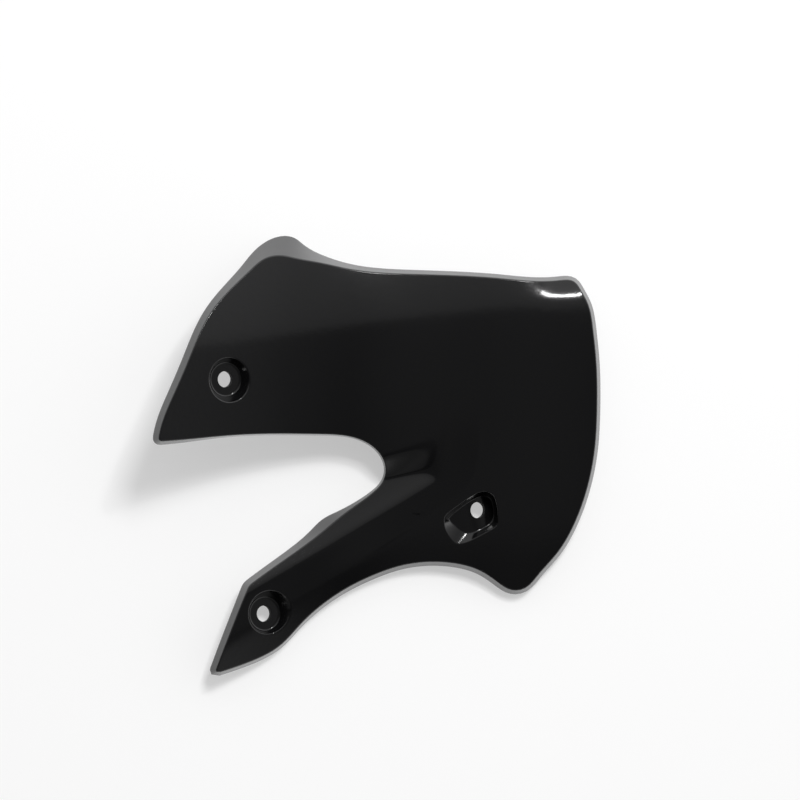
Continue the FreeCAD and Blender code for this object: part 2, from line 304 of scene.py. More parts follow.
def spline_through(points, spacing):
    """Cubic Hermite curve through points by chord length, its slopes solving the usual three-term rows.

    Each end's slope is that of the cubic through the four points there.
    """
    points = np.asarray(points, float)
    chords = np.linalg.norm(np.diff(points, axis=0), axis=1)
    at = np.concatenate([[0.0], np.cumsum(chords)])
    count = len(points)
    order = min(4, count)
    rows = np.zeros((count, count))
    right = np.zeros((count, 2))
    for row, ends in ((0, slice(0, order)), (-1, slice(count - order, count))):
        start = at[row]
        fit = np.polyfit(at[ends] - start, points[ends], order - 1)
        rows[row, row] = 1.0
        right[row] = fit[-2]
    middle = np.arange(1, count - 1)
    slopes = np.diff(points, axis=0) / chords[:, None]
    rows[middle, middle - 1] = 1 / chords[:-1]
    rows[middle, middle] = 2 / chords[:-1] + 2 / chords[1:]
    rows[middle, middle + 1] = 1 / chords[1:]
    right[1:-1] = 3 * (slopes[:-1] / chords[:-1, None] + slopes[1:] / chords[1:, None])
    tangents = np.linalg.solve(rows, right)
    where = np.linspace(0, at[-1], int(at[-1] / spacing) + 1)
    k = np.clip(np.searchsorted(at, where, side="right") - 1, 0, count - 2)
    u = ((where - at[k]) / chords[k])[:, None]
    size = chords[k][:, None]
    return ((1 + 2 * u) * (1 - u) ** 2 * points[k] + u * (1 - u) ** 2 * size * tangents[k]
            + u ** 2 * (3 - 2 * u) * points[k + 1] + u ** 2 * (u - 1) * size * tangents[k + 1])


class Outline:
    """The face's closed edge: the three splines, even by arc length and softened by a Gaussian filter."""

    def __init__(self):
        stretches = [
            [LEFT_TIP] + REAR_EDGE + [ARM_TIP], [ARM_TIP] + ARM_END + [ARM_CORNER],
            [ARM_CORNER] + NOTCH_EDGE + [LEFT_TIP]]
        parts = [spline_through(stretch, 0.2) for stretch in stretches]
        loop = np.concatenate([part[:-1] for part in parts])
        closed = np.concatenate([loop, loop[:1]])
        at = np.concatenate([[0.0], np.cumsum(np.linalg.norm(np.diff(closed, axis=0), axis=1))])
        self.length = at[-1]
        count = 8192
        even = np.arange(count) * self.length / count
        raw = np.stack([np.interp(even, at, closed[:, axis]) for axis in range(2)], 1)
        waves = np.fft.fftfreq(count, self.length / count)
        keep = np.exp(-0.5 * (2 * math.pi * waves * CORNER_SOFTNESS) ** 2)[:, None]
        self.points = np.real(np.fft.ifft(np.fft.fft(raw, axis=0) * keep, axis=0))
        spectrum = np.fft.fft(raw, axis=0) * keep
        slopes = np.real(np.fft.ifft(spectrum * (2j * math.pi * waves)[:, None], axis=0))
        self.outwards = unit(np.stack([-slopes[:, 1], slopes[:, 0]], 1))
        self.at = even
        ends = np.cumsum([len(part) - 1 for part in parts])
        self.arm_tip = at[ends[0]]
        self.arm_corner = at[ends[1]]

    def read(self, table, where):
        """A table's values at arc lengths, wrapped round the loop."""
        return np.stack([
            np.interp(where, self.at, column, period=self.length) for column in table.T], -1)

    def station(self, place, low, high):
        """Arc length of the loop's point nearest to a place, between two arc lengths."""
        apart = np.linalg.norm(self.points - np.asarray(place), axis=1)
        apart[(self.at < low) | (self.at > high)] = np.inf
        return self.at[np.argmin(apart)]


def edge_stations(outline, columns, rows):
    """Arc lengths of the grid's four sides: outer edge, arm end, notch edge and left tip."""
    outer = [TIP_SHARE]
    outer += [outline.station(a, 0, outline.arm_tip) for a, b, c in PAIRED_PLACES]
    outer += [outline.arm_tip]
    notch = [outline.length - TIP_SHARE]
    notch += [outline.station(b, outline.arm_corner, outline.length) for a, b, c in PAIRED_PLACES]
    notch += [outline.arm_corner]
    shares = [0.0] + [c for a, b, c in PAIRED_PLACES] + [1.0]
    along = np.linspace(0, 1, columns + 1)
    smooth = [np.interp(along, shares, values) for values in (outer, notch)]
    across = np.linspace(0, 1, rows + 1)
    arm = outline.arm_tip + across * (outline.arm_corner - outline.arm_tip)
    tip = TIP_SHARE - across * 2 * TIP_SHARE
    return smooth[0], arm, smooth[1], tip


def patch(outer, arm, notch, tip):
    """Coons patch: the two straight blends of facing sides added, less the blend of the four corners."""
    s = np.linspace(0, 1, len(outer))[:, None, None]
    t = np.linspace(0, 1, len(arm))[None, :, None]
    sides = (1 - t) * outer[:, None] + t * notch[:, None] + (1 - s) * tip[None] + s * arm[None]
    corners = (1 - s) * (1 - t) * outer[0] + (1 - s) * t * notch[0]
    corners = corners + (s * (1 - t) * outer[-1] + s * t * notch[-1])
    return sides - corners


def draw_direction(lean):
    """Unit direction in which the pockets and side walls are drawn from the mould."""
    return np.array([math.sin(lean), 0.0, math.cos(lean)])


def lie_on(points, surface):
    """Points with their heights taken from a surface."""
    return np.concatenate([points[..., :2], surface(points[..., 0], points[..., 1])[..., None]], -1)


def toward(start, end, length):
    """Point at a length from start on the way to end."""
    return start + unit(end - start) * length


def loop_through(places):
    """Closed loop through places by the uniform cubic p1 + u (p2 - p0) / 2 + u^2 (p0 - 2.5 p1 + 2 p2 - p3 / 2)
    + u^3 (1.5 (p1 - p2) + (p3 - p0) / 2), in twenty steps of u.
    """
    p1 = np.array(places)[:, None]
    p0, p2, p3 = (np.roll(p1, shift, axis=0) for shift in (1, -1, -2))
    u = np.arange(20)[None, :, None] / 20
    third = 1.5 * (p1 - p2) + (p3 - p0) / 2
    loop = p1 + u * (p2 - p0) / 2 + u ** 2 * (p0 - 2.5 * p1 + 2 * p2 - p3 / 2) + u ** 3 * third
    return loop.reshape(-1, 2)


class RoundPocket:
    """A bolt pocket with a round seat, whose side wall opens evenly along the mould's draw."""

    def __init__(self, place, draw):
        self.draw = draw
        self.along = np.array([draw[2], 0.0, -draw[0]])
        self.across = np.cross(draw, self.along)
        self.centre = on_face(place) - draw * POCKET_DEPTH
        self.slope = (POCKET_RADIUS - SEAT_RADIUS) / POCKET_DEPTH

    def middle(self, level):
        """Point of the bolt's axis at a level over the seat."""
        return self.centre + self.draw * level

    def turns(self, points):
        """Angle of points about the draw axis."""
        away = points - self.centre
        return np.arctan2(away @ self.across, away @ self.along)

    def point(self, turns, reach, level):
        """Centre + reach (cos along + sin across) + level draw."""
        flat = np.cos(turns)[:, None] * self.along + np.sin(turns)[:, None] * self.across
        return self.centre + flat * reach + self.draw * np.broadcast_to(level, turns.shape)[:, None]

    def side(self, turns, level, grow):
        """Point of the side wall at a level over the seat."""
        flat = np.cos(turns)[:, None] * self.along + np.sin(turns)[:, None] * self.across
        reach = SEAT_RADIUS + grow + self.slope * (level + grow)
        return self.centre + flat * reach[:, None] + self.draw * level[:, None]

    def rim(self, turns, surface, grow):
        """Where the side wall meets a height surface, by halving an interval of levels."""
        low, high = (np.full_like(turns, level) for level in LEVEL_SPAN)
        for halving in range(HALVINGS):
            middle = (low + high) / 2
            points = self.side(turns, middle, grow)
            above = points[:, 2] > surface(points[:, 0], points[:, 1])
            high = np.where(above, middle, high)
            low = np.where(above, low, middle)
        return self.side(turns, (low + high) / 2, grow)

    def foot(self, turns, grow):
        """Where the side wall meets the seat, or the cup's underside with grow."""
        return self.side(turns, np.full_like(turns, -grow), grow)

    def on_floor(self, points, grow):
        """Points as they are: the seat is flat."""
        return points


class EggPocket(RoundPocket):
    """The radiator bolt's pocket: its rim and its floor's edge are closed splines through measured places."""

    def __init__(self, place, draw):
        super().__init__(place, draw)
        self.rims, self.floors = loop_through(RADIATOR_RIM), loop_through(RADIATOR_FLOOR)
        self.rim_middle = np.mean(RADIATOR_RIM, 0)
        away = self.rims - self.centre[:2]
        self.angles = np.unwrap(np.arctan2(away[:, 1], away[:, 0]))

    def middle(self, level):
        """Middle of the rim, at any level."""
        return self.rim_middle

    def turns(self, points):
        """Angle of points about the seat's middle, in the face view."""
        away = points[:, :2] - self.centre[:2]
        return np.arctan2(away[:, 1], away[:, 0])

    def read(self, loop, turns, grow):
        """A loop's places as far round as the rim is where it has the given angles, moved out by grow."""
        start = self.angles[0]
        angles = np.append(self.angles, start + 2 * math.pi)
        steps = np.arange(len(loop) + 1)
        at = np.interp(start + (turns - start) % (2 * math.pi), angles, steps)
        closed = np.concatenate([loop, loop[:1]])
        places = np.stack([np.interp(at, steps, closed[:, axis]) for axis in range(2)], 1)
        return places + unit(places - self.rim_middle) * grow

    def floor_height(self, x, y, grow):
        """The seat's plane, or a gap under the face where that is lower, less grow square to the seat."""
        seat = self.centre[2] - self.draw[0] / self.draw[2] * (x - self.centre[0])
        floor = soft_least(seat, height(x, y) - RADIATOR_FLOOR_GAP, FLOOR_BLEND)
        return floor - grow / self.draw[2]

    def rim(self, turns, surface, grow):
        """The rim's spline moved out by grow, on a surface."""
        return lie_on(self.read(self.rims, turns, grow), surface)

    def foot(self, turns, grow):
        """The floor's spline moved out by grow, on the floor."""
        return self.on_floor(self.read(self.floors, turns, grow), grow)

    def on_floor(self, points, grow):
        """Points with their heights taken from the floor."""
        return lie_on(points, lambda x, y: self.floor_height(x, y, grow))


def smooth_turns(turns):
    """Even steps round the circle plus the first harmonics of the angles' departure from them.

    So the angle still grows where a window's side points at the pocket.
    """
    even = np.arange(len(turns)) * 2 * math.pi / len(turns)
    harmonics = np.fft.rfft(np.unwrap(turns) - even)
    harmonics[TURN_HARMONICS + 1:] = 0
    return even + np.fft.irfft(harmonics, len(turns))


def pocket_rings(pocket, top, bottom, under, wall):
    """Rings from a hole's edge in the face to its edge in the inner face, and each ring's bore share.

    They run over the lip, down the side, across the seat, through the bore and back up the cup. Each is a
    straight or quadratic blend of its neighbours.
    """
    turns = smooth_turns(pocket.turns(top))
    rim, foot = pocket.rim(turns, height, 0.0), pocket.foot(turns, 0.0)
    lip = rim.copy()
    lip[:, :2] += unit((top - rim)[:, :2]) * POCKET_LIP
    lip = lie_on(lip, height)
    rings = [lie_on(straight(top, lip, 7), height)]
    side_top, side_foot = toward(rim, foot, POCKET_LIP), toward(foot, rim, POCKET_FILLET)
    rings.append(bend(lip, rim, side_top, 6))
    rings.append(straight(side_top, side_foot, 4))
    bore_edge = pocket.point(turns, BORE_RADIUS + BORE_ROUNDING, 0.0)
    floor_edge = pocket.on_floor(toward(foot, bore_edge, POCKET_FILLET), 0.0)
    rings.append(bend(side_foot, foot, floor_edge, 5))
    rings.append(pocket.on_floor(straight(floor_edge, bore_edge, 12), 0.0))
    bore_corner = pocket.point(turns, BORE_RADIUS, 0.0)
    rings.append(bend(bore_edge, bore_corner, pocket.point(turns, BORE_RADIUS, -BORE_ROUNDING), 3))
    rings.append(straight(rings[-1][-1], pocket.point(turns, BORE_RADIUS, BORE_ROUNDING - wall), 2))
    bore_end = pocket.point(turns, BORE_RADIUS + BORE_ROUNDING, -wall)
    rings.append(bend(rings[-1][-1], pocket.point(turns, BORE_RADIUS, -wall), bore_end, 3))
    cup_rim, cup_foot = pocket.rim(turns, under, wall), pocket.foot(turns, wall)
    cup_edge = pocket.on_floor(toward(cup_foot, bore_end, POCKET_FILLET), wall)
    rings.append(pocket.on_floor(straight(bore_end, cup_edge, 9), wall))
    rings.append(bend(cup_edge, cup_foot, toward(cup_foot, cup_rim, POCKET_FILLET), 4))
    rings.append(straight(rings[-1][-1], toward(cup_rim, cup_foot, INNER_FILLET), 4))
    fillet = cup_rim.copy()
    fillet[:, :2] += unit((bottom - cup_rim)[:, :2]) * INNER_FILLET
    fillet = lie_on(fillet, under)
    rings.append(bend(rings[-1][-1], cup_rim, fillet, 3))
    rings.append(lie_on(straight(fillet, bottom, 5), under)[:-1])
    stretches = rings[:5], rings[5:8], rings[8:]
    dull = np.repeat([0.0, 1.0, 0.0], [sum(map(len, stretch)) for stretch in stretches])
    return np.concatenate(rings), dull


def rim_rings(places, outwards, under, sizes):
    """Rings from the face's edge over the crease, down the side wall, round the rim's end and up inside.

    The rim's end lies where the CAD has it: out and down by the crease radius, then along down + outwards
    (draft + spread near the peak) to the rim's height. The wall runs straight there from a narrow crease.
    """
    radius, wall = sizes["crease"], sizes["wall"]
    radius = radius + (sizes["notch_crease"] - radius) * near_notch(places)[:, None]
    peak = near_peak(places)[:, None]
    flat = np.concatenate([outwards, np.zeros((len(outwards), 1))], 1)
    lean = sizes["follow"] * slope_of_bend(places[:, :1]) * (1 - peak)
    down = np.concatenate([-lean, 0 * lean, 0 * lean - 1], 1) + flat * (
        sizes["draft"] + sizes["spread"] * peak + sizes["flap_spread"] * near_flap(places)[:, None])
    crease = on_face(places + outwards * radius) + down * radius

    def rim_height(points):
        depth = sizes["rim"] + sizes["peak_extra"] * near_peak(points)
        shallower = (sizes["rim"] - sizes["notch_rim"]) * near_notch_end(points)
        return height(points[:, 0], points[:, 1]) - depth + shallower

    def run_to_rim(start):
        length = np.full((len(start), 1), 5.0)
        for settling in range(HALVINGS):
            point = start + down * length
            length = length + 0.7 * (point[:, 2] - rim_height(point))[:, None]
        return start + down * length

    wall_inset = wall * np.hypot(1.0, (down * flat).sum(1, keepdims=True))
    inner_top = on_face(places + outwards * (radius - wall_inset)) + down * radius
    outer_end = run_to_rim(crease)
    inner_end = run_to_rim(inner_top)
    length = np.full((len(places), 1), 1.0)
    for settling in range(HALVINGS):
        point = inner_top + down * length
        length = length + 0.7 * (point[:, 2] - under(point[:, 0], point[:, 1]))[:, None]
    inner_corner = inner_top + down * length
    edge = on_face(places + outwards * EDGE_ROUNDING)
    below = toward(edge, outer_end, EDGE_ROUNDING)
    up = -down * RIM_ROUNDING
    across = unit(inner_end - outer_end) * RIM_ROUNDING
    fillet = INNER_FILLET
    inner_start = lie_on(inner_corner - flat * fillet, under)
    rings = [bend(on_face(places), edge, below, CREASE_RINGS)]
    rings.append(straight(below, outer_end + up, 6))
    rings.append(bend(outer_end + up, outer_end, outer_end + across, 4))
    rings.append(straight(outer_end + across, inner_end - across, 2))
    rings.append(bend(inner_end - across, inner_end, inner_end + up, 4))
    rings.append(straight(inner_end + up, inner_corner + down * fillet, 3))
    rings.append(bend(inner_corner + down * fillet, inner_corner, inner_start, 3))
    return np.concatenate(rings)


def ring_faces(rings):
    """Quads between neighbouring rings of vertex numbers, each ring closed."""
    after = np.roll(rings, -1, axis=1)
    return np.stack([rings[:-1], after[:-1], after[1:], rings[1:]], -1).reshape(-1, 4)


def hole_edge(numbers, window):
    """Vertex numbers round a window of the grid, anticlockwise as seen from outside the face."""
    i0, i1, j0, j1 = window
    return np.concatenate([
        numbers[i0, j0:j1], numbers[i0:i1, j1], numbers[i1, j1:j0:-1], numbers[i1:i0:-1, j0]])


def window_round(grids, pocket, reach):
    """Smallest window of the grid that holds every vertex within a reach of the pocket, on both faces."""
    near = [
        np.nonzero(np.linalg.norm(grid[..., :2] - pocket.middle(level)[:2], axis=-1) < reach)
        for grid, level in grids]
    rows, columns = np.concatenate(near, axis=1)
    return rows.min(), rows.max(), columns.min(), columns.max()


def face_to_rest(draw):
    """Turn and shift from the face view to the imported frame, fitted to the record's three bores."""
    found = {mount["name"]: mount for mount in frame["record"]["mounts"]}
    drawn, packed = [], []
    for name, place in BORE_MOUNTS.items():
        point = on_face(place) - draw * (POCKET_DEPTH + 1.5)
        drawn += [point, point + draw * 100]
        position = np.array(found[name]["pos_m"]) / MM
        packed += [position, position + np.array(found[name]["axis"]) * 100]
    drawn, packed = np.array(drawn), np.array(packed)
    spread = (packed - packed.mean(0)).T @ (drawn - drawn.mean(0))
    left, sizes, right = np.linalg.svd(spread)
    fix = np.diag([1.0, 1.0, np.sign(np.linalg.det(left @ right))])
    turn = left @ fix @ right
    return turn, packed.mean(0) - turn @ drawn.mean(0)


def shroud_surface(sizes, columns, rows):
    """The panel's closed surface of two faces, a rim and three pockets: points, quads, two shares a point."""
    draw = draw_direction(sizes["lean"])
    outline = Outline()
    stations = edge_stations(outline, columns, rows)
    loop = np.concatenate([stations[0][:-1], stations[1][:-1], stations[2][:0:-1], stations[3][:0:-1]])
    places = outline.read(outline.points, loop)
    outwards = unit(outline.read(outline.outwards, loop))

    def under(x, y):
        return inner_height(x, y, sizes["wall"])

    rims = rim_rings(places, outwards, under, sizes)
    outer = on_face(patch(*[outline.read(outline.points, side) for side in stations]))
    edge = rims[-1][:, :2]
    corners = np.cumsum([columns, rows, columns])
    notch_side = edge[corners[1]:corners[2] + 1][::-1]
    tip_side = np.concatenate([edge[corners[2]:], edge[:1]])[::-1]
    inner = patch(edge[:corners[0] + 1], edge[corners[0]:corners[1] + 1], notch_side, tip_side)
    inner = lie_on(np.concatenate([inner, inner[..., :1]], -1), under)

    count = (columns + 1) * (rows + 1)
    outer_numbers = np.arange(count).reshape(columns + 1, rows + 1)
    inner_numbers = outer_numbers + count
    points = [outer.reshape(-1, 3), inner.reshape(-1, 3)]
    shares, dulls = [np.zeros(2 * count)], [np.zeros(2 * count)]
    keep = np.ones((columns, rows), bool)
    faces = []
    used = 2 * count

    whole = (0, columns, 0, rows)
    inside_rims = rims[:-1]
    numbers = used + np.arange(inside_rims.shape[0] * len(loop)).reshape(inside_rims.shape[0], -1)
    points.append(inside_rims.reshape(-1, 3))
    crease_share = np.ones(len(inside_rims))
    crease_share[:CREASE_RINGS] = np.linspace(0, 1, CREASE_RINGS + 1)[1:]
    shares.append(np.repeat(crease_share, len(loop)))
    dulls.append(np.zeros(numbers.size))
    used += numbers.size
    edge_first = hole_edge(outer_numbers, whole)[::-1]
    edge_last = hole_edge(inner_numbers, whole)[::-1]
    edge_first = np.roll(edge_first, 1)
    edge_last = np.roll(edge_last, 1)
    faces.append(ring_faces(np.concatenate([edge_first[None], numbers, edge_last[None]])))

    pockets = [
        (RoundPocket(TANK_BOLT, draw), TANK_WINDOW), (RoundPocket(ARM_BOLT, draw), ARM_WINDOW),
        (EggPocket(RADIATOR_BOLT, draw), RADIATOR_WINDOW)]
    for pocket, reach in pockets:
        window = window_round([(outer, POCKET_DEPTH), (inner, POCKET_DEPTH - sizes["wall"])], pocket, reach)
        i0, i1, j0, j1 = window
        keep[i0:i1, j0:j1] = False
        first, last = hole_edge(outer_numbers, window), hole_edge(inner_numbers, window)
        flat = np.concatenate(points[:2])
        rings, dull = pocket_rings(pocket, flat[first], flat[last], under, sizes["wall"])
        numbers = used + np.arange(rings.shape[0] * len(first)).reshape(rings.shape[0], -1)
        points.append(rings.reshape(-1, 3))
        shares.append(np.zeros(numbers.size))
        dulls.append(np.repeat(dull, len(first)))
        used += numbers.size
        faces.append(ring_faces(np.concatenate([first[None], numbers, last[None]])))

    i, j = np.nonzero(keep)
    corner_steps = [(0, 0), (0, 1), (1, 1), (1, 0)]
    faces.append(np.stack([outer_numbers[i + along, j + across] for along, across in corner_steps], -1))
    faces.append(np.stack([inner_numbers[i + across, j + along] for along, across in corner_steps], -1))
    points, faces = np.concatenate(points), np.concatenate(faces)
    shares = np.stack([np.concatenate(shares), np.concatenate(dulls)], 1)
    kept, faces = np.unique(faces, return_inverse=True)
    faces = faces.reshape(-1, 4)
    turn, shift = face_to_rest(draw)
    return (points[kept] @ turn.T + shift) * MM, faces, shares[kept]


def new_mesh_object(name, points, faces):
    """Smooth mesh object at the origin from whole arrays of points and quads.

    Each vertex normal is the sum of its quads' area vectors, half the cross products of their diagonals.
    """
    mesh = bpy.data.meshes.new(name)
    mesh.from_pydata(points.tolist(), [], faces.tolist())
    mesh.shade_smooth()
    mesh.update()
    across, along = points[faces[:, 2]] - points[faces[:, 0]], points[faces[:, 3]] - points[faces[:, 1]]
    normals = np.zeros_like(points)
    for corner in range(4):
        np.add.at(normals, faces[:, corner], np.cross(across, along))
    mesh.normals_split_custom_set_from_vertices(unit(normals).tolist())
    obj = bpy.data.objects.new(name, mesh)
    bpy.context.scene.collection.objects.link(obj)
    return obj


def fresh_material(name):
    """Material with nodes, and its node tree, shader and output."""
    material = bpy.data.materials.new(name)
    material.use_nodes = True
    tree = material.node_tree
    tree.nodes.clear()
    output = tree.nodes.new("ShaderNodeOutputMaterial")
    return material, tree, output


def noise_node(tree, coordinates, scale, detail):
    """Noise texture on given coordinates, scale in features per metre."""
    node = tree.nodes.new("ShaderNodeTexNoise")
    node.inputs["Scale"].default_value = scale
    node.inputs["Detail"].default_value = detail
    tree.links.new(coordinates, node.inputs["Vector"])
    return node.outputs["Fac"]


def range_node(tree, value, low, high, source=(0.0, 1.0)):
    """Linear map of a value from the source range to low and high."""
    node = tree.nodes.new("ShaderNodeMapRange")
    node.inputs["From Min"].default_value = source[0]
    node.inputs["From Max"].default_value = source[1]
    node.inputs["To Min"].default_value = low
    node.inputs["To Max"].default_value = high
    tree.links.new(value, node.inputs["Value"])
    return node.outputs["Result"]


def sum_node(tree, operation, first, second):
    """Math node with two inputs, sockets or numbers."""
    node = tree.nodes.new("ShaderNodeMath")
    node.operation = operation
    for socket, value in zip(node.inputs, (first, second)):
        if isinstance(value, (int, float)):
            socket.default_value = value
        else:
            tree.links.new(value, socket)
    return node.outputs["Value"]


def plastic_material(finish):
    """Gloss black plastic: colour and roughness drift with noise, a duller rim whose lighter grey is partly
    satin plastic and partly a painted reflection, and orange peel as bump.
    """
    material, tree, output = fresh_material("gloss_black_plastic")
    shader = tree.nodes.new("ShaderNodeBsdfPrincipled")
    tree.links.new(shader.outputs["BSDF"], output.inputs["Surface"])
    shader.inputs["IOR"].default_value = 1.5
    coordinates = tree.nodes.new("ShaderNodeTexCoord").outputs["Object"]
    rim, bore = [tree.nodes.new("ShaderNodeAttribute") for share in range(2)]
    rim.attribute_name, bore.attribute_name = "rim_share", "bore_share"
    rim, bore = rim.outputs["Fac"], bore.outputs["Fac"]
    drift = noise_node(tree, coordinates, 14.0, 3.0)
    grain = noise_node(tree, coordinates, 900.0, 2.0)
    ramp = tree.nodes.new("ShaderNodeMix")
    ramp.data_type = "RGBA"
    ramp.inputs["A"].default_value = (*finish.plastic_colour, 1.0)
    # The rim's lighter grey is partly its satin finish and partly a painted reflection of the bright floor on
    # the side walls.
    ramp.inputs["B"].default_value = (*finish.rim_satin_and_sheen_colour, 1.0)
    tree.links.new(sum_node(tree, "MULTIPLY", rim, range_node(tree, drift, 0.8, 1.1)), ramp.inputs["Factor"])
    tree.links.new(ramp.outputs["Result"], shader.inputs["Base Color"])
    rough = range_node(tree, drift, finish.roughness * 0.85, finish.roughness * 1.2, (0.3, 0.7))
    rough = sum_node(tree, "ADD", rough, range_node(tree, grain, -0.02, 0.02))
    rough = sum_node(tree, "ADD", rough, sum_node(tree, "MULTIPLY", rim, finish.rim_roughness))
    rough = sum_node(tree, "ADD", rough, sum_node(tree, "MULTIPLY", bore, 0.8))
    tree.links.new(rough, shader.inputs["Roughness"])
    peel = noise_node(tree, coordinates, 260.0, 1.0)
    bump = tree.nodes.new("ShaderNodeBump")
    bump.inputs["Strength"].default_value = 0.06
    bump.inputs["Distance"].default_value = 0.0004
    relief = sum_node(tree, "ADD", peel, sum_node(tree, "MULTIPLY", grain, 0.25))
    tree.links.new(relief, bump.inputs["Height"])
    tree.links.new(bump.outputs["Normal"], shader.inputs["Normal"])
    return material


class ShroudSizes(PropertyGroup):
    """Sizes of the moulding that a user may change."""

    wall: FloatProperty(
        name="Wall", description="Thickness of the plastic", default=0.003, unit="LENGTH", subtype="DISTANCE")
    crease: FloatProperty(
        name="Crease Radius", description="Rounding between face and side wall", default=0.003,
        unit="LENGTH", subtype="DISTANCE")
    notch_crease: FloatProperty(
        name="Notch Crease Radius", description="Rounding along the notch", default=0.0013,
        unit="LENGTH", subtype="DISTANCE")
    rim: FloatProperty(
        name="Rim Depth", description="Depth of the turned-down edge", default=0.008,
        unit="LENGTH", subtype="DISTANCE")
    peak_extra: FloatProperty(
        name="Peak Extra", description="Extra depth of the edge at the peak", default=0.012,
        unit="LENGTH", subtype="DISTANCE")
    notch_rim: FloatProperty(
        name="Notch Rim Depth", description="Depth of the edge round the notch's end", default=0.004,
        unit="LENGTH", subtype="DISTANCE")
    lean: FloatProperty(
        name="Draw Lean", description="Angle of the mould's draw direction to the face view",
        default=math.radians(28.0), unit="ROTATION", subtype="ANGLE")
    follow: FloatProperty(
        name="Wall Follow", description="Share of the face's lean that the side walls take", default=0.45)
    draft: FloatProperty(
        name="Draft", description="Outward run of the side wall for each unit down", default=0.03)
    spread: FloatProperty(
        name="Peak Spread", description="Extra outward run of the wall at the peak", default=0.5)
    flap_spread: FloatProperty(
        name="Flap Spread", description="Extra outward run of the arm's flap", default=0.4)
    columns: IntProperty(name="Columns", description="Cells of each face along the panel", default=350)
    rows: IntProperty(name="Rows", description="Cells of each face across the panel", default=68)


class ShroudFinish(PropertyGroup):
    """Colours and gloss of the plastic."""

    plastic_colour: FloatVectorProperty(
        name="Plastic", description="Colour of the moulded plastic", default=(0.003, 0.003, 0.0033),
        subtype="COLOR", size=3, min=0, max=1)
    # Lighter grey of the side walls: partly satin plastic, partly a painted reflection of the floor.
    rim_satin_and_sheen_colour: FloatVectorProperty(
        name="Satin Rim and Sheen", description="Colour of the side walls, satin plastic lightened by painted sheen", default=(0.035, 0.035, 0.036),
        subtype="COLOR", size=3, min=0, max=1)
    roughness: FloatProperty(
        name="Roughness", description="Roughness of the gloss face",
        default=0.13, min=0, max=1, subtype="FACTOR")
    rim_roughness: FloatProperty(
        name="Rim Roughness", description="Added roughness of the side walls", default=0.2, min=0, max=1,
        subtype="FACTOR")


class StudioSizes(PropertyGroup):
    """Camera and lights of the studio."""

    view_width: FloatProperty(
        name="View Width", description="Width of the picture at the part", default=0.496,
        unit="LENGTH", subtype="DISTANCE")
    view_level: FloatProperty(
        name="View Level", description="Level over the face view's origin at which that width holds",
        default=0.02,
        unit="LENGTH", subtype="DISTANCE")
    camera_distance: FloatProperty(
        name="Camera Distance", description="Distance from the camera to the part", default=10.0,
        unit="LENGTH", subtype="DISTANCE")
    key_power: FloatProperty(
        name="Key Power", description="Power of the softbox above the part", default=4.0, unit="POWER")
    top_power: FloatProperty(
        name="Top Power", description="Power of the large softbox that casts the soft shadows", default=110.0,
        unit="POWER")
    shadow_share: FloatProperty(
        name="Shadow Share", description="Share of the floor's brightness that a shadow can take away",
        default=0.55, min=0, max=1, subtype="FACTOR")
    floor_colour: FloatVectorProperty(
        name="Floor", description="Colour of the floor", default=(0.93, 0.93, 0.93), subtype="COLOR", size=3,
        min=0, max=1)


class BuildPanel(Operator):
    """Build the shroud's moulded panel over its CAD solid"""

    bl_idname = "shroud.build_panel"
    bl_label = "Shroud Panel"

    def execute(self, context):
        """Makes the surface, gives it its plastic and lets it ride on the root body."""
        source = context.scene.shroud_sizes
        sizes = {key: getattr(source, key) / MM for key in (
            "wall", "crease", "notch_crease", "rim", "peak_extra", "notch_rim")}
        ratios = ("lean", "follow", "draft", "spread", "flap_spread")
        sizes.update({key: getattr(source, key) for key in ratios})
        points, faces, shares = shroud_surface(sizes, source.columns, source.rows)
        panel = new_mesh_object("shroud_panel", points, faces)
        for name, values in zip(("rim_share", "bore_share"), shares.T):
            attribute = panel.data.attributes.new(name, "FLOAT", "POINT")
            attribute.data.foreach_set("value", values.astype(np.float32))
        panel.data.materials.append(plastic_material(context.scene.shroud_finish))
        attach(panel, "root")
        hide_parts(SHROUD_NODE)
        return {"FINISHED"}


def ramp_node(tree, value, low, high, tones, smooth="EASE"):
    """Grey ramp of (place, tone) pairs over a value that runs from low to high."""
    ramp = tree.nodes.new("ShaderNodeValToRGB")
    ramp.color_ramp.interpolation = smooth
    places = [(place - low) / (high - low) for place, tone in tones]
    ends = (places[0], places[-1]), (tones[0][1], tones[-1][1])
    for element, place, tone in zip(ramp.color_ramp.elements, *ends):
        element.position = place
        element.color = (tone, tone, tone, 1.0)
    for place, (value_there, tone) in zip(places[1:-1], tones[1:-1]):
        ramp.color_ramp.elements.new(place).color = (tone, tone, tone, 1.0)
    tree.links.new(range_node(tree, value, 0.0, 1.0, (low, high)), ramp.inputs["Fac"])
    return ramp.outputs["Color"]


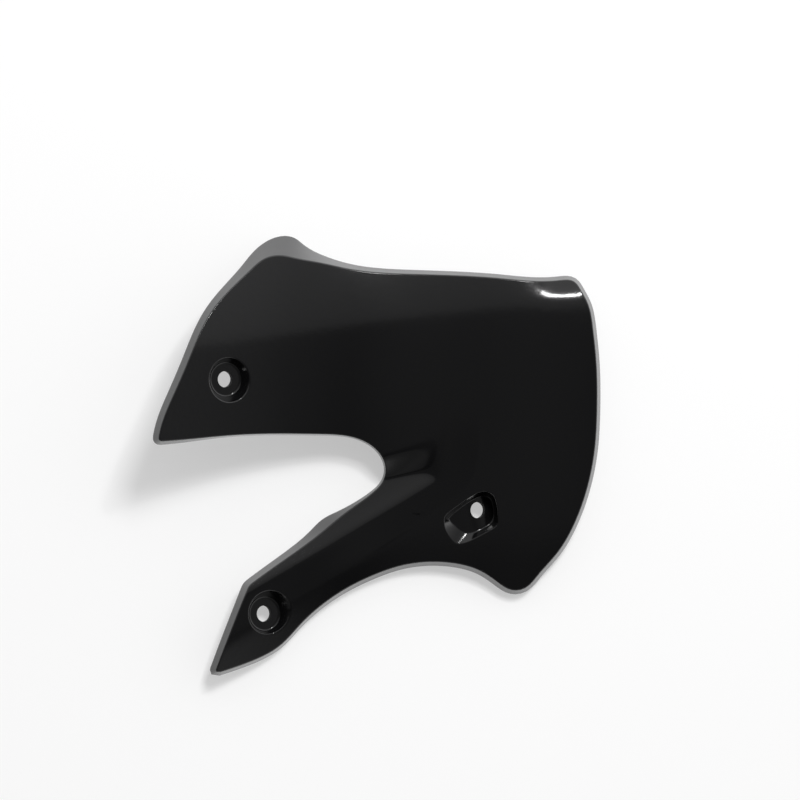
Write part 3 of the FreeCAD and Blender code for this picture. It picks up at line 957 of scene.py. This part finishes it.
def studio_world(turn):
    """World for the camera and for reflections: bands by the angle off the face view's axis, towards Y and X.

    Each direction is turned into the face view; its angle towards Y is atan2(y, z), and likewise for X.
    """
    world = bpy.data.worlds.new("studio_world")
    world.use_nodes = True
    tree = world.node_tree
    tree.nodes.clear()
    output = tree.nodes.new("ShaderNodeOutputWorld")
    direction = tree.nodes.new("ShaderNodeTexCoord").outputs["Generated"]
    parts = []
    for axis in range(3):
        dot = tree.nodes.new("ShaderNodeVectorMath")
        dot.operation = "DOT_PRODUCT"
        tree.links.new(direction, dot.inputs[0])
        dot.inputs[1].default_value = turn[:, axis]
        parts.append(dot.outputs["Value"])
    upward = sum_node(tree, "ARCTAN2", parts[1], parts[2])
    sideward = sum_node(tree, "ARCTAN2", parts[0], parts[2])
    up_tone = ramp_node(tree, upward, -1.6, 1.6, UPWARD_TONES)
    side_tone = ramp_node(tree, sideward, -1.6, 1.6, SIDEWARD_TONES)
    around = tree.nodes.new("ShaderNodeBackground")
    tree.links.new(sum_node(tree, "ADD", up_tone, side_tone), around.inputs["Color"])
    seen = tree.nodes.new("ShaderNodeBackground")
    seen.inputs["Color"].default_value = (0.97, 0.97, 0.97, 1.0)
    mix = tree.nodes.new("ShaderNodeMixShader")
    tree.links.new(tree.nodes.new("ShaderNodeLightPath").outputs["Is Camera Ray"], mix.inputs["Fac"])
    tree.links.new(around.outputs["Background"], mix.inputs[1])
    tree.links.new(seen.outputs["Background"], mix.inputs[2])
    tree.links.new(mix.outputs["Shader"], output.inputs["Surface"])
    bpy.context.scene.world = world


def softbox(name, direction, distance, size, power, target):
    """Rectangular area light at a distance from the target, turned to face it."""
    light = bpy.data.lights.new(name, "AREA")
    light.shape = "RECTANGLE"
    light.size, light.size_y = size
    light.energy = power
    obj = bpy.data.objects.new(name, light)
    back = Vector(direction).normalized()
    obj.location = Vector(target) + back * distance
    obj.rotation_euler = back.to_track_quat("Z", "Y").to_euler()
    bpy.context.scene.collection.objects.link(obj)
    return obj


class BuildStudio(Operator):
    """Build the floor, the soft lights and the camera"""

    bl_idname = "shroud.build_studio"
    bl_label = "Studio"

    def execute(self, context):
        """Floor is a plain square; the camera looks down the face view's own axis."""
        studio = context.scene.shroud_studio
        reach = 30.0
        floor = new_mesh_object("floor", np.array([
            (-reach, -reach, 0.0), (reach, -reach, 0.0), (reach, reach, 0.0), (-reach, reach, 0.0)]),
            np.array([(0, 1, 2, 3)]))
        material, tree, output = fresh_material("studio_floor")
        diffuse = tree.nodes.new("ShaderNodeBsdfDiffuse")
        diffuse.inputs["Color"].default_value = (*studio.floor_colour, 1.0)
        shaded = tree.nodes.new("ShaderNodeBsdfDiffuse")
        shaded.inputs["Color"].default_value = (*(c * studio.shadow_share for c in studio.floor_colour), 1.0)
        glow = tree.nodes.new("ShaderNodeEmission")
        both = tree.nodes.new("ShaderNodeAddShader")
        tree.links.new(shaded.outputs["BSDF"], both.inputs[0])
        tree.links.new(glow.outputs["Emission"], both.inputs[1])
        rays = tree.nodes.new("ShaderNodeLightPath").outputs
        # For reflection rays the floor glows brighter than for the camera: painted extra light in its
        # reflection on the side walls.
        brighter = sum_node(tree, "MULTIPLY", rays["Is Glossy Ray"], GLOSSY_FLOOR)
        tree.links.new(sum_node(tree, "ADD", brighter, 1.0 - studio.shadow_share), glow.inputs["Strength"])
        looks = sum_node(tree, "MAXIMUM", rays["Is Camera Ray"], rays["Is Glossy Ray"])
        looks = sum_node(tree, "MAXIMUM", looks, rays["Is Transmission Ray"])
        mix = tree.nodes.new("ShaderNodeMixShader")
        tree.links.new(looks, mix.inputs["Fac"])
        tree.links.new(diffuse.outputs["BSDF"], mix.inputs[1])
        tree.links.new(both.outputs["Shader"], mix.inputs[2])
        tree.links.new(mix.outputs["Shader"], output.inputs["Surface"])
        floor.data.materials.append(material)
        turn, shift = face_to_rest(draw_direction(context.scene.shroud_sizes.lean))
        studio_world(turn)
        centre = Vector(shift * MM)
        softbox("key_softbox", turn @ KEY_DIRECTION, KEY_DISTANCE, KEY_SIZE, studio.key_power, centre)
        top = softbox("top_softbox", turn @ TOP_DIRECTION, TOP_DISTANCE, TOP_SIZE, studio.top_power, centre)
        top.visible_glossy = False
        camera = bpy.data.cameras.new("camera")
        camera.sensor_width = 36.0
        camera.lens = camera.sensor_width * studio.camera_distance / studio.view_width
        camera.clip_start, camera.clip_end = 0.1, 100.0
        obj = bpy.data.objects.new("camera", camera)
        place = Matrix(turn.tolist()).to_4x4()
        place.translation = centre + Vector(turn[:, 2]) * (studio.camera_distance + studio.view_level)
        obj.matrix_world = place
        context.scene.collection.objects.link(obj)
        context.scene.camera = obj
        context.scene.view_settings.view_transform = "Standard"
        return {"FINISHED"}


class ShroudSidebar(Panel):
    """Sizes, finish and build steps of the shroud"""

    bl_idname = "VIEW3D_PT_shroud"
    bl_label = "Radiator Shroud"
    bl_space_type = "VIEW_3D"
    bl_region_type = "UI"
    bl_category = "Shroud"

    def draw(self, context):
        """Lists every size and colour, then the two build steps."""
        for group in (context.scene.shroud_sizes, context.scene.shroud_finish, context.scene.shroud_studio):
            for name in group.__annotations__:
                self.layout.prop(group, name)
        self.layout.operator(BuildPanel.bl_idname)
        self.layout.operator(BuildStudio.bl_idname)


CLASSES = (ShroudSizes, ShroudFinish, StudioSizes, BuildPanel, BuildStudio, ShroudSidebar)


def register():
    """Registers the classes and puts the property groups on the scene."""
    for cls in CLASSES:
        bpy.utils.register_class(cls)
    bpy.types.Scene.shroud_sizes = PointerProperty(type=ShroudSizes)
    bpy.types.Scene.shroud_finish = PointerProperty(type=ShroudFinish)
    bpy.types.Scene.shroud_studio = PointerProperty(type=StudioSizes)


def unregister():
    """Takes the property groups off the scene and the classes away."""
    del bpy.types.Scene.shroud_studio
    del bpy.types.Scene.shroud_finish
    del bpy.types.Scene.shroud_sizes
    for cls in reversed(CLASSES):
        bpy.utils.unregister_class(cls)


def main():
    register()
    bpy.ops.shroud.build_studio()
    bpy.ops.shroud.build_panel()


if __name__ == "__main__":
    main()
